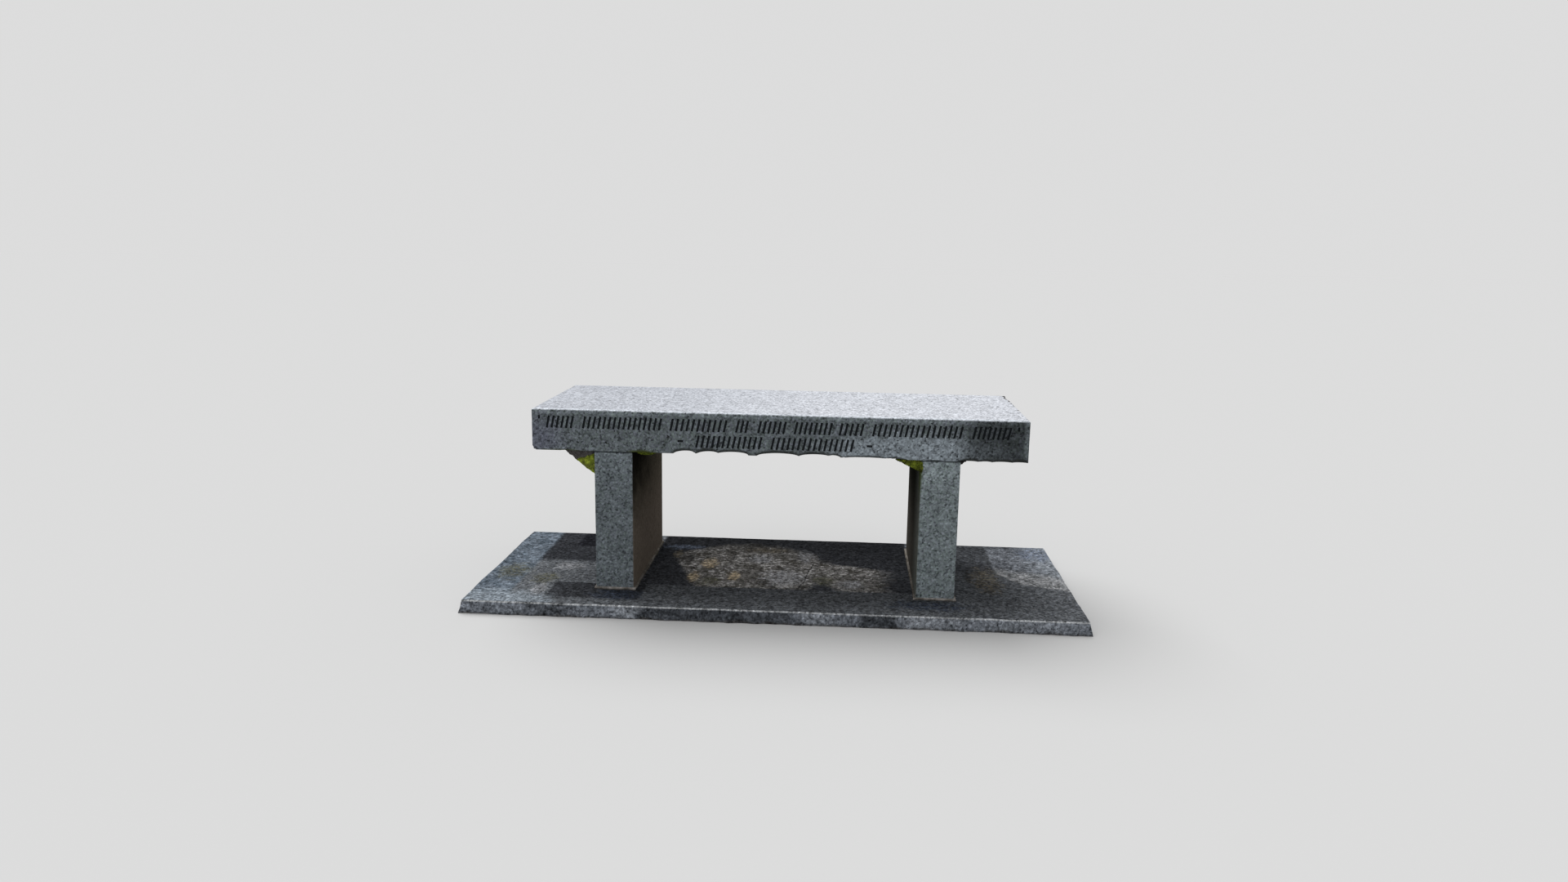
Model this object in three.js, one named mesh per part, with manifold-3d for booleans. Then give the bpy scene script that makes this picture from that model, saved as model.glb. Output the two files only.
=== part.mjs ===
// Granite memorial bench: an inscribed seat slab on two upright leg slabs, bedded in mortar on a base slab
// with pitched edges. Millimetres, +Z up, +X along the bench, and the inscribed face looks towards -Y.
// The origin is the middle of the base slab's flat underside, where it is cut off at ground level.
import * as THREE from 'three';
import { mergeVertices } from 'three/addons/utils/BufferGeometryUtils.js';
import Module from 'manifold-3d';

const wasm = await Module();
wasm.setup();

// Driving dimensions
const SEAT_LENGTH = 1219;
const SEAT_DEPTH = 429;
const SEAT_THICKNESS = 103;
const LEG_THICKNESS = 96;
const LEG_DEPTH = 425;
const LEG_CENTRES = 805; // between the middles of the two legs
const SEAT_CLEARANCE = 356; // from the base slab's top to the seat's underside
const MORTAR_THICKNESS = 4;
const MORTAR_SPREAD = 6; // how far the mortar is squeezed out past the leg's foot
const BASE_LENGTH = 1517; // between the top arrises, and so is the depth
const BASE_DEPTH = 615;
const BASE_HEIGHT = 32; // above ground level
const BENCH_SETBACK = 21.5; // the seat and legs stand this far behind the middle of the base
const SEAT_SHIFT = 2.5; // the seat lies this far to the right of the base's middle
const LEGS_SHIFT = -1; // and the middle between the legs this far to the left of it

// Levels worked out from them
const MORTAR_TOP = BASE_HEIGHT + MORTAR_THICKNESS;
const SEAT_UNDERSIDE = BASE_HEIGHT + SEAT_CLEARANCE;
const LEG_HEIGHT = SEAT_UNDERSIDE - MORTAR_TOP;

// Dressing of the stone
const SEAT_EASE = 4; // eased top arris of the seat
const LEG_EASE = 2.5;
const LEG_FOOT_EASE = 1.5;
const BASE_EASE = 2.5;
const CORNER_EASE = 3; // upright corners
const END_HOLLOW = 2.5; // how deep the hollows in the seat's split ends are
const END_SPALL = 3; // how far the ends' top arris is spalled past its easing
const CHIP_RISE = 3.5; // the largest of the small chips round the seat's lower arris, up the face
const CHIP_DEPTH = 7; // and in under the slab
const CORNER_CHIP = 9; // what is rounded off the lower left corner of the inscribed face
const PITCH_BULGE = 9; // how far the base slab's pitched edges stand out at ground level
const PITCH_FACET = 2.4; // how uneven the pitched face is
const ARRIS_STRAY = 3; // how far a pitched arris strays inwards

// Flakes struck off the seat's lower front arris between the legs: where each is from the seat's middle,
// how wide it is and how far it rises up the face. All run the same way in under the slab.
const FLAKE_DEPTH = 40;
const FLAKES = [
  { at: -230, width: 54, rise: 10 },
  { at: -172, width: 56, rise: 12 },
  { at: -113, width: 84, rise: 10 },
  { at: 2, width: 104, rise: 11 },
  { at: 93, width: 84, rise: 10.5 },
  { at: 138, width: 34, rise: 7 },
  { at: 218, width: 120, rise: 4 },
  { at: 288, width: 40, rise: 3 },
];

// Spacing of the points round each outline, and the wavelengths of what varies along it
const SEAT_PITCH = 30;
const SEAT_FRONT_PITCH = 12; // close enough to follow the flakes
const LEG_PITCH = 60;
const MORTAR_PITCH = 22;
const BASE_PITCH = 32;
const HOLLOW_WAVE = 34;
const CHIP_WAVE = 48;
const MORTAR_WAVE = 22;
const BULGE_WAVE = 95;
const ARRIS_WAVE = 62;

// Which run of chance values each feature uses
const SEED = {
  lowHollow: 1,
  middleHollow: 2,
  topHollow: 3,
  spall: 4,
  chipWave: 5,
  chipStep: 6,
  bulge: 11,
  bulgeStep: 12,
  lowerCourse: 13,
  lowerFacet: 14,
  upperCourse: 15,
  arris: 16,
  upperFacet: 17,
  leftMortar: 21,
  rightMortar: 22,
};

// Inscription: two rows of slanted strokes, all alike and evenly spaced within each group. Heights are above
// the seat's underside.
const STROKE_WIDTH = 5.5;
const STROKE_FLOOR = 4; // width at the bottom of the groove
const STROKE_SINK = 2.8;
const STROKE_LENGTH = 31;
const STROKE_LEAN = 12; // degrees
const UPPER_BASELINE = 56;
const UPPER_GROUPS = [
  { from: -574, to: -502, strokes: 6 },
  { from: -484, to: -283, strokes: 16 },
  { from: -267, to: -122, strokes: 11 },
  { from: -104, to: -70, strokes: 3 },
  { from: -50, to: 23, strokes: 6 },
  { from: 39, to: 135, strokes: 8 },
  { from: 148, to: 212, strokes: 5 },
  { from: 229, to: 451, strokes: 17 },
  { from: 471, to: 566, strokes: 8 },
];
const LOWER_BASELINE = 16;
const LOWER_GROUPS = [
  { from: -203, to: -36, strokes: 13 },
  { from: -18, to: 189, strokes: 16 },
];
const UPPER_ENDS = [-590, 582]; // a short tick at each end of the upper row
const LOWER_ENDS = [-239, 225]; // a level dash at each end of the lower row
const TICK_LENGTH = 9;
const DASH_LENGTH = 14;

// A value from 0 to 1 that only depends on its two whole numbers.
function chance(index, seed) {
  const mixed = Math.sin(index * 127.1 + seed * 311.7) * 43758.5453;
  return mixed - Math.floor(mixed);
}

// A smooth run of chance values along a length, with a new one every wavelength.
function wave(distance, wavelength, seed) {
  const step = Math.floor(distance / wavelength);
  const part = distance / wavelength - step;
  const ease = part * part * (3 - 2 * part);
  return chance(step, seed) * (1 - ease) + chance(step + 1, seed) * ease;
}

// Points round a rectangle with cut corners, anticlockwise from the front left. Each knows which way is out,
// which side it is on and how far round it is. The front may have its own spacing.
function rectangleOutline(length, depth, corner, pitch, frontPitch = pitch) {
  const halfLength = length / 2;
  const halfDepth = depth / 2;
  const sides = [
    { side: 'front', out: [0, -1], start: [-halfLength + corner, -halfDepth], run: [1, 0], span: length },
    { side: 'right', out: [1, 0], start: [halfLength, -halfDepth + corner], run: [0, 1], span: depth },
    { side: 'back', out: [0, 1], start: [halfLength - corner, halfDepth], run: [-1, 0], span: length },
    { side: 'left', out: [-1, 0], start: [-halfLength, halfDepth - corner], run: [0, -1], span: depth },
  ];
  const points = [];
  let round = 0;
  for (const { side, out, start, run, span } of sides) {
    const straight = span - 2 * corner;
    const steps = Math.max(1, Math.round(straight / (side === 'front' ? frontPitch : pitch)));
    for (let i = 0; i <= steps; i += 1) {
      const along = (straight * i) / steps;
      const nearCorner = Math.min(along, straight - along);
      points.push({
        x: start[0] + run[0] * along,
        y: start[1] + run[1] * along,
        out,
        side,
        round: round + along,
        nearCorner,
      });
    }
    round += span;
  }
  return points;
}

// A stone slab as a stack of rings round one outline. A ring gives each point its height and how far it
// moves outwards, so that an arris can be eased, chipped or pitched along its length.
function slabGeometry(outline, rings) {
  const columns = outline.length;
  const positions = [];
  for (const ring of rings) {
    outline.forEach((point, column) => {
      const shift = ring.out(point, column);
      const x = point.x + point.out[0] * shift;
      const y = point.y + point.out[1] * shift;
      positions.push(x, y, ring.height(point, column));
    });
  }
  const faces = [];
  for (let level = 0; level + 1 < rings.length; level += 1) {
    for (let column = 0; column < columns; column += 1) {
      const next = (column + 1) % columns;
      const low = level * columns;
      const high = low + columns;
      faces.push(low + column, low + next, high + next, low + column, high + next, high + column);
    }
  }
  // Both caps fan out from the middle.
  const topLevel = rings.length - 1;
  const underHub = positions.length / 3;
  const topHub = underHub + 1;
  positions.push(0, 0, positions[2]);
  positions.push(0, 0, positions[topLevel * columns * 3 + 2]);
  for (let column = 0; column < columns; column += 1) {
    const next = (column + 1) % columns;
    faces.push(underHub, next, column);
    faces.push(topHub, topLevel * columns + column, topLevel * columns + next);
  }
  const geometry = new THREE.BufferGeometry();
  geometry.setAttribute('position', new THREE.Float32BufferAttribute(positions, 3));
  geometry.setIndex(faces);
  geometry.computeVertexNormals();
  return geometry;
}

function toSolid(geometry) {
  const bare = geometry.clone();
  bare.deleteAttribute('normal');
  bare.deleteAttribute('uv');
  const merged = mergeVertices(bare, 1e-3);
  return new wasm.Manifold(
    new wasm.Mesh({
      numProp: 3,
      vertProperties: new Float32Array(merged.attributes.position.array),
      triVerts: new Uint32Array(merged.index.array),
    }),
  );
}

function toGeometry(solid) {
  const mesh = solid.getMesh();
  const geometry = new THREE.BufferGeometry();
  geometry.setAttribute('position', new THREE.BufferAttribute(mesh.vertProperties, 3));
  geometry.setIndex(new THREE.BufferAttribute(mesh.triVerts, 1));
  geometry.computeVertexNormals();
  return geometry;
}

// One sunk stroke of the inscription: a groove with sloping sides, centred on (x, z) of the front face and
// leaning by an angle in degrees.
function strokeSolid(x, z, length, lean) {
  const slope = (STROKE_WIDTH - STROKE_FLOOR) / 2 / STROKE_SINK;
  const clearOfFace = 2;
  const mouth = STROKE_WIDTH / 2 + slope * clearOfFace;
  const floor = STROKE_FLOOR / 2;
  const section = new THREE.Shape();
  section.moveTo(-mouth, -clearOfFace);
  section.lineTo(mouth, -clearOfFace);
  section.lineTo(floor, STROKE_SINK);
  section.lineTo(-floor, STROKE_SINK);
  section.closePath();
  const groove = new THREE.ExtrudeGeometry(section, { depth: length, bevelEnabled: false });
  groove.translate(0, 0, -length / 2);
  groove.rotateY(THREE.MathUtils.degToRad(lean));
  groove.translate(x, -SEAT_DEPTH / 2, z);
  return toSolid(groove);
}

// One row's strokes: evenly spaced and apart, so that none makes a letter.
function rowStrokes(groups, baseline) {
  const middle = baseline + STROKE_LENGTH / 2;
  return groups.flatMap(({ from, to, strokes }) => {
    const step = (to - from) / strokes;
    return Array.from({ length: strokes }, (_, index) => {
      const x = from + step * (index + 0.5);
      return strokeSolid(x, middle, STROKE_LENGTH, STROKE_LEAN);
    });
  });
}

function inscriptionStrokes() {
  const tickMiddle = UPPER_BASELINE + STROKE_LENGTH - TICK_LENGTH / 2;
  const dashMiddle = LOWER_BASELINE + STROKE_LENGTH / 2;
  return [
    ...rowStrokes(UPPER_GROUPS, UPPER_BASELINE),
    ...rowStrokes(LOWER_GROUPS, LOWER_BASELINE),
    ...UPPER_ENDS.map((x) => strokeSolid(x, tickMiddle, TICK_LENGTH, 0)),
    ...LOWER_ENDS.map((x) => strokeSolid(x, dashMiddle, DASH_LENGTH, 90)),
  ];
}

// How much of the largest flake's section is struck off at a place along the front, from 0 to 1.
function flakeShare({ at, width }, x) {
  const away = Math.min(1, Math.abs(x - at) / (width / 2));
  return Math.sqrt(1 - away * away);
}

// Seat: smooth front and back, split ends, an eased top arris and a chipped lower arris.
function seatGeometry() {
  const outline = rectangleOutline(SEAT_LENGTH, SEAT_DEPTH, CORNER_EASE, SEAT_PITCH, SEAT_FRONT_PITCH);
  const atEnd = (point) => point.side === 'left' || point.side === 'right';
  const hollow = (point, seed) => {
    const fade = Math.min(1, point.nearCorner / SEAT_PITCH);
    return atEnd(point) ? -END_HOLLOW * fade * wave(point.round, HOLLOW_WAVE, seed) : 0;
  };
  const ease = (point) => {
    const spall = atEnd(point) ? END_SPALL * wave(point.round, HOLLOW_WAVE, SEED.spall) : 0;
    return SEAT_EASE + spall;
  };
  // Rise up the face and depth in under the slab of what is missing from the lower arris
  const lost = (point, column) => {
    const varied = wave(point.round, CHIP_WAVE, SEED.chipWave) * chance(column, SEED.chipStep);
    const small = 0.25 + 0.75 * varied;
    const toCorner = Math.hypot(point.x + SEAT_LENGTH / 2, point.y + SEAT_DEPTH / 2);
    const corner = Math.max(0, CORNER_CHIP - toCorner / 2);
    let rise = Math.max(CHIP_RISE * small, corner);
    let depth = Math.max(CHIP_DEPTH * small, corner);
    if (point.side === 'front') {
      for (const flake of FLAKES) {
        const share = flakeShare(flake, point.x);
        rise = Math.max(rise, flake.rise * share);
        depth = Math.max(depth, FLAKE_DEPTH * share);
      }
    }
    return { rise, depth };
  };
  const rings = [
    { height: () => 0, out: (p, i) => hollow(p, SEED.lowHollow) - lost(p, i).depth },
    { height: (p, i) => lost(p, i).rise, out: (p) => hollow(p, SEED.lowHollow) },
    { height: () => SEAT_THICKNESS / 2, out: (p) => hollow(p, SEED.middleHollow) },
    { height: (p) => SEAT_THICKNESS - ease(p), out: (p) => hollow(p, SEED.topHollow) },
    { height: (p) => SEAT_THICKNESS - ease(p) * 0.3, out: (p) => hollow(p, SEED.topHollow) - ease(p) * 0.3 },
    { height: () => SEAT_THICKNESS, out: (p) => hollow(p, SEED.topHollow) - ease(p) },
  ];
  const carved = inscriptionStrokes().reduce(
    (seat, stroke) => seat.subtract(stroke),
    toSolid(slabGeometry(outline, rings)),
  );
  return toGeometry(carved);
}

// Leg: a plain sawn upright with eased arrises.
function legGeometry() {
  const outline = rectangleOutline(LEG_THICKNESS, LEG_DEPTH, CORNER_EASE, LEG_PITCH);
  return slabGeometry(outline, [
    { height: () => 0, out: () => -LEG_FOOT_EASE },
    { height: () => LEG_FOOT_EASE, out: () => 0 },
    { height: () => LEG_HEIGHT - LEG_EASE, out: () => 0 },
    { height: () => LEG_HEIGHT, out: () => -LEG_EASE },
  ]);
}

// Mortar bed: flat under the leg, squeezed out unevenly round it and rounded over.
function mortarGeometry(seed) {
  const outline = rectangleOutline(LEG_THICKNESS, LEG_DEPTH, CORNER_EASE, MORTAR_PITCH);
  const spread = (point) => MORTAR_SPREAD * (0.55 + 0.45 * wave(point.round, MORTAR_WAVE, seed));
  return slabGeometry(outline, [
    { height: () => 0, out: (p) => spread(p) },
    { height: () => MORTAR_THICKNESS * 0.55, out: (p) => spread(p) * 0.92 },
    { height: () => MORTAR_THICKNESS, out: (p) => spread(p) * 0.45 },
  ]);
}

// Base slab: flat top, and pitched edges that spall out in two courses from an uneven arris to the ground.
function baseGeometry() {
  const outline = rectangleOutline(BASE_LENGTH, BASE_DEPTH, CORNER_EASE, BASE_PITCH);
  const share = outline.map(
    (p, i) => 0.45 + 0.35 * wave(p.round, BULGE_WAVE, SEED.bulge) + 0.2 * chance(i, SEED.bulgeStep),
  );
  const fullest = {};
  outline.forEach((p, i) => {
    fullest[p.side] = Math.max(fullest[p.side] ?? 0, share[i]);
  });
  // Each side reaches the full bulge somewhere, which keeps the slab centred.
  const bulge = (p, i) => (PITCH_BULGE * share[i]) / fullest[p.side];
  const facet = (i, seed) => PITCH_FACET * (chance(i, seed) - 0.5);
  const course = (i, height, seed) => BASE_HEIGHT * (height + 0.1 * chance(i, seed));
  const arris = (p) => -ARRIS_STRAY * wave(p.round, ARRIS_WAVE, SEED.arris);
  return slabGeometry(outline, [
    { height: () => 0, out: bulge },
    {
      height: (p, i) => course(i, 0.36, SEED.lowerCourse),
      out: (p, i) => 0.86 * bulge(p, i) + facet(i, SEED.lowerFacet),
    },
    {
      height: (p, i) => course(i, 0.68, SEED.upperCourse),
      out: (p, i) => 0.42 * bulge(p, i) + facet(i, SEED.upperFacet),
    },
    { height: () => BASE_HEIGHT - BASE_EASE, out: arris },
    { height: () => BASE_HEIGHT, out: (p) => arris(p) - BASE_EASE },
  ]);
}

// Finishes, as sRGB colours
const honedGranite = new THREE.MeshStandardMaterial({ color: '#a9afb4', roughness: 0.55, metalness: 0 });
const sawnGranite = new THREE.MeshStandardMaterial({ color: '#8d9498', roughness: 0.8, metalness: 0 });
const weatheredGranite = new THREE.MeshStandardMaterial({ color: '#6b7175', roughness: 0.9, metalness: 0 });
const mortar = new THREE.MeshStandardMaterial({ color: '#a39a8c', roughness: 0.95, metalness: 0 });

function addPiece(group, name, geometry, material, x, y, z) {
  const mesh = new THREE.Mesh(geometry, material);
  mesh.name = name;
  mesh.position.set(x, y, z);
  group.add(mesh);
}

const bench = new THREE.Group();
addPiece(bench, 'base_slab', baseGeometry(), weatheredGranite, 0, 0, 0);
addPiece(bench, 'seat_slab', seatGeometry(), honedGranite, SEAT_SHIFT, BENCH_SETBACK, SEAT_UNDERSIDE);
[
  { side: 'left', x: LEGS_SHIFT - LEG_CENTRES / 2, seed: SEED.leftMortar },
  { side: 'right', x: LEGS_SHIFT + LEG_CENTRES / 2, seed: SEED.rightMortar },
].forEach(({ side, x, seed }) => {
  addPiece(bench, `${side}_leg`, legGeometry(), sawnGranite, x, BENCH_SETBACK, MORTAR_TOP);
  addPiece(bench, `${side}_mortar_bed`, mortarGeometry(seed), mortar, x, BENCH_SETBACK, BASE_HEIGHT);
});

export default bench;
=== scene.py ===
"""Granite memorial bench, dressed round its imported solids. Metres, in the part's own frame."""
import math
import random

import bmesh
import bpy
from mathutils import Matrix, Vector


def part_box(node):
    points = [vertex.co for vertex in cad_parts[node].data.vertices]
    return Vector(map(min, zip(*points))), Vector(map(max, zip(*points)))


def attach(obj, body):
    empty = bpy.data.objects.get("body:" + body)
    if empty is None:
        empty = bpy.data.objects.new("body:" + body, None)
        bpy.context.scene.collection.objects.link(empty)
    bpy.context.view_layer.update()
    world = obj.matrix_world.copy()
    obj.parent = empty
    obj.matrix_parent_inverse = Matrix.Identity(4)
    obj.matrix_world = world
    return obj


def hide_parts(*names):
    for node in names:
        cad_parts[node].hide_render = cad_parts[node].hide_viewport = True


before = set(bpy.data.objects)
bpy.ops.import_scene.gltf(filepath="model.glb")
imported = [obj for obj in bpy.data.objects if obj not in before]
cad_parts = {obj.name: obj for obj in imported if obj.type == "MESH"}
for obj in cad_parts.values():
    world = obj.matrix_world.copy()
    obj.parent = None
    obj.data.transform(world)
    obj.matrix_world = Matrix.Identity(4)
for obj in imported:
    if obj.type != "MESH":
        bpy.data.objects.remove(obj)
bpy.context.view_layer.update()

MM = 0.001

# Where the solids are
SEAT_LOW, SEAT_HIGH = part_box("seat_slab")
BASE_LOW, BASE_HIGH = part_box("base_slab")
LEG_BOXES = {side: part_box(f"{side}_leg") for side in ("left", "right")}
BED_BOXES = {side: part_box(f"{side}_mortar_bed") for side in ("left", "right")}
SEAT_MIDDLE = (SEAT_LOW.x + SEAT_HIGH.x) / 2
SEAT_FRONT = SEAT_LOW.y
SEAT_UNDER = SEAT_LOW.z
SEAT_TOP = SEAT_HIGH.z
BASE_TOP = BASE_HIGH.z
LEG_FRONT = LEG_BOXES["left"][0].y
LEG_TOP = LEG_BOXES["left"][1].z

# Camera, as the photograph was taken
CAMERA_PLACE = Vector((0.1593, -2.7432, 0.9158))
CAMERA_YAW = 0.0551
CAMERA_PITCH = -0.1891
CAMERA_ROLL = 0.0175
CAMERA_LENS = 24.44  # mm, on a 36 mm sensor

# Light
SKY_GREY = 0.72  # what the backdrop and the floor come out as
SUN_DIRECTION = Vector((-0.28, 0.42, 0.86))  # towards the light
SUN_SPREAD = math.radians(50)
SUN_ON_FLOOR = 1.3  # the sun's share of the light on the floor, where the sky's is SKY_GREY

# Dressing of the stone
CUTTER_SPARE = 20 * MM  # how far a cutter reaches past the stone
SEAT_EASE = 4.5 * MM
SEAT_UNDER_EASE = 1.2 * MM
LEG_EASE = 2.2 * MM
PITCH_OUT = 9 * MM  # how far the base slab's sides stand out from their top arris to the ground
PITCH_CURVE = 0.55  # under 1, they stand out quickly below the arris
PITCH_SWELL = 7 * MM
PITCH_SCOOPS = 7 * MM
PITCH_GRAIN = 2.4 * MM
END_HOLLOW = 0.4 * MM  # how far the seat's split ends lie inside its full length
END_SWELL = 3 * MM
END_SCOOPS = 2 * MM
END_GRAIN = 1.2 * MM
CORNER_LOSS = Vector((10, 12, 10)) * MM  # rounded off the seat's lower left front corner
SEAT_BRUISES = 26
END_BRUISES = 6
LEG_BRUISES = 5  # on each upright arris

# Flakes off the seat's lower front arris: place from its middle, width and rise, in millimetres
FLAKES = (
    (-230, 54, 10),
    (-172, 56, 12),
    (-113, 84, 10),
    (2, 104, 11),
    (93, 84, 10.5),
    (138, 34, 7),
    (218, 120, 4),
    (288, 40, 3),
)
FLAKE_DEPTH = 40 * MM
FLAKE_LUMPS = 1.6 * MM  # how uneven the larger flakes' bowls are
TOOTH_GAP = 16  # the teeth between flakes nearer than this are bruised away, in millimetres
TOOTH_BRUISE = Vector((11, 9, 4)) * MM
# Bruises along the same arris past the right leg: place from the seat's middle, width and rise
END_FLAKES = ((470, 40, 4.5), (508, 30, 3), (548, 52, 4), (590, 40, 5.5))
END_FLAKE_DEPTH = 12 * MM
# Chips off the top arris of the right end: place from the back, length and depth, in millimetres
TOP_CHIPS = ((20, 28, 8), (52, 50, 8), (104, 26, 5), (150, 16, 5), (196, 12, 4), (260, 14, 4))

# Inscription: two rows of sunk strokes in groups, each with its start, end and number of strokes, in
# millimetres from the seat's middle and its underside
STROKE_WIDTH = 5.5 * MM
STROKE_FLOOR = 4 * MM
STROKE_SINK = 2.8 * MM
STROKE_LENGTH = 31
STROKE_LEAN = 12  # degrees
TICK_LENGTH = 9
DASH_LENGTH = 14
UPPER_BASELINE = 56
UPPER_GROUPS = (
    (-574, -502, 6),
    (-484, -283, 16),
    (-267, -122, 11),
    (-104, -70, 3),
    (-50, 23, 6),
    (39, 135, 8),
    (148, 212, 5),
    (229, 451, 17),
    (471, 566, 8),
)
LOWER_BASELINE = 16
LOWER_GROUPS = ((-203, -36, 13), (-18, 189, 16))
UPPER_ENDS = (-590, 582)
LOWER_ENDS = (-239, 225)

# Mortar and moss
BED_CLIMB = 2.5 * MM  # how far the mortar is smeared up the leg
MORTAR_SQUEEZE = 7 * MM  # how far the mortar's outline wanders
SQUEEZE_FADE = 24 * MM  # how deep into the bed that reaches
MOSS_VOXEL = 2 * MM
MOSS_LAP = 1 * MM  # how far the moss laps into the stone it grows on
MOSS_HALVINGS = 3  # rows of a web from front to back, as halvings
MOSS_THINNING = 0.86  # how much of a web is gone at its back
MOSS_THINNING_CURVE = 0.8
# Webs of moss and soil: width along X (negative to the left), drop and depth
LEFT_WEB = (-0.079, 0.064, 0.14)
RIGHT_WEB = (-0.068, 0.031, 0.12)
SOIL_WEB = (0.018, 0.013, 0.1)

# Granite's crystals, in millimetres
CRYSTAL = 4.4
FLECK = 1.9

# Two tints of each leg's crystals
LEG_TINTS = {
    "left": ((0.112, 0.136, 0.138), (0.138, 0.155, 0.178)),
    "right": ((0.155, 0.19, 0.188), (0.19, 0.215, 0.238)),
}
LEG_PALE_TOP = {"left": 0.18, "right": 0.26}  # how much paler the face is near the seat
LEG_PALE_FOOT = {"left": 0.26, "right": 0.1}

# What lies on the base slab's top, as colours
NEAR_BLACK = (0.018, 0.018, 0.017)
NAVY = (0.032, 0.04, 0.058)
OLIVE = (0.056, 0.056, 0.04)
BROWN = (0.088, 0.078, 0.06)
TAN = (0.255, 0.205, 0.135)
PALE = (0.16, 0.163, 0.172)
BLUE = (0.08, 0.094, 0.124)

# Its stains and lichen, from left to right: place, half size and colour
BASE_STAINS = (
    ((-700, -70), (38, 60), OLIVE),
    ((-596, -206), (18, 36), PALE),
    ((-604, -118), (32, 38), OLIVE),
    ((-568, -14), (34, 28), PALE),
    ((-388, -230), (56, 36), NAVY),
    ((-292, 200), (60, 22), BLUE),
    ((-292, 130), (13, 32), BROWN),
    ((-256, 88), (17, 48), NEAR_BLACK),
    ((-222, -66), (14, 38), TAN),
    ((-192, 53), (19, 40), TAN),
    ((-176, -100), (26, 34), OLIVE),
    ((-116, -48), (15, 34), TAN),
    ((-57, 105), (30, 36), PALE),
    ((-40, 190), (50, 24), BROWN),
    ((14, -55), (56, 62), PALE),
    ((68, 140), (20, 52), PALE),
    ((124, -64), (28, 34), OLIVE),
    ((190, -90), (34, 32), PALE),
    ((384, -232), (90, 34), NAVY),
    # Painted shadow: the near-black line beside the right leg
    ((507, 20), (12, 44), NEAR_BLACK),
    ((550, -24), (36, 96), BROWN),
    ((722, 236), (52, 62), BLUE),
)


def deselect():
    if bpy.context.object and bpy.context.object.mode != "OBJECT":
        bpy.ops.object.mode_set(mode="OBJECT")
    bpy.ops.object.select_all(action="DESELECT")


def take(piece):
    """Makes a piece the only one selected, and the active one."""
    deselect()
    piece.select_set(True)
    bpy.context.view_layer.objects.active = piece


def settle(piece):
    """Puts a piece's place, turn and size into its mesh."""
    take(piece)
    bpy.ops.object.transform_apply(location=True, rotation=True, scale=True)
    return piece


def block(name, low, high):
    """A square-edged block between two corners."""
    deselect()
    bpy.ops.mesh.primitive_cube_add(size=1, location=(low + high) / 2)
    piece = bpy.context.object
    piece.name = name
    piece.scale = high - low
    return settle(piece)


def pick(piece, kind, chosen):
    """Enters edit mode with the piece's faces or edges (kind is FACE or EDGE) that pass a test selected."""
    take(piece)
    bpy.ops.object.mode_set(mode="EDIT")
    bpy.ops.mesh.select_mode(type=kind)
    bpy.ops.mesh.select_all(action="DESELECT")
    form = bmesh.from_edit_mesh(piece.data)
    for part in form.faces if kind == "FACE" else form.edges:
        part.select_set(bool(chosen(part)))
    form.select_flush_mode()
    bmesh.update_edit_mesh(piece.data)


def done():
    bpy.ops.object.mode_set(mode="OBJECT")


def edge_middle(edge):
    return (edge.verts[0].co + edge.verts[1].co) / 2


def runs_along(edge, axis):
    span = edge.verts[1].co - edge.verts[0].co
    return abs(span[axis]) > 0.98 * span.length


def divide(piece, axis, halvings):
    """Halves the edges that run along an axis a few times over, in rings of quads."""
    for _ in range(halvings):
        pick(piece, "EDGE", lambda edge: runs_along(edge, axis))
        bpy.ops.mesh.subdivide(number_cuts=1)
        done()


def ease_edges(piece, width, segments, chosen):
    pick(piece, "EDGE", chosen)
    bpy.ops.mesh.bevel(offset=width, offset_type="OFFSET", segments=segments, profile=0.5, affect="EDGES")
    done()


def weigh(piece, name, share):
    """Makes a vertex group that holds share(place) for every vertex where it is above 0, and says its name,
    which is numbered where the piece has one of that name."""
    group = piece.vertex_groups.new(name=name)
    for vertex in piece.data.vertices:
        amount = share(vertex.co)
        if amount > 0:
            group.add([vertex.index], amount, "REPLACE")
    return group.name


def clouds(name, size, depth=2):
    texture = bpy.data.textures.new(name, "CLOUDS")
    texture.noise_scale = size
    texture.noise_depth = depth
    texture.noise_basis = "IMPROVED_PERLIN"
    return texture


def scoops(name, size):
    """Bowls that meet in ridges, as a hammer leaves them on hard stone."""
    texture = bpy.data.textures.new(name, "VORONOI")
    texture.noise_scale = size
    texture.distance_metric = "DISTANCE_SQUARED"
    return texture


def push(piece, direction, strength, texture=None, group="", middle=0.5):
    """Moves the surface along X, Y, Z or its normal, by a texture where one is given."""
    mover = piece.modifiers.new("push", "DISPLACE")
    mover.direction = direction
    mover.strength = strength
    mover.mid_level = middle
    mover.texture_coords = "LOCAL"
    if texture:
        mover.texture = texture
    mover.vertex_group = group
    take(piece)
    bpy.ops.object.modifier_apply(modifier=mover.name)


def cut(piece, cutters):
    """Takes each cutter out of a piece, and discards the cutters."""
    for cutter in cutters:
        knife = piece.modifiers.new("cut", "BOOLEAN")
        knife.operation = "DIFFERENCE"
        knife.solver = "MANIFOLD"
        knife.object = cutter
        take(piece)
        bpy.ops.object.modifier_apply(modifier=knife.name)
        mesh = cutter.data
        bpy.data.objects.remove(cutter)
        bpy.data.meshes.remove(mesh)


def finish_surface(piece, angle=35):
    """Smooth shading that keeps flat faces flat and broken edges sharp."""
    take(piece)
    bpy.ops.object.shade_smooth_by_angle(angle=math.radians(angle))
    even = piece.modifiers.new("even", "WEIGHTED_NORMAL")
    even.mode = "FACE_AREA"
    even.keep_sharp = True
    bpy.ops.object.modifier_apply(modifier=even.name)


def hand_over(piece, material, node=None):
    """Gives a piece its material, and its place among the solids."""
    piece.data.materials.clear()
    piece.data.materials.append(material)
    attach(piece, "root")
    if node:
        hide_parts(node)


# Rough edges and chips


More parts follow.
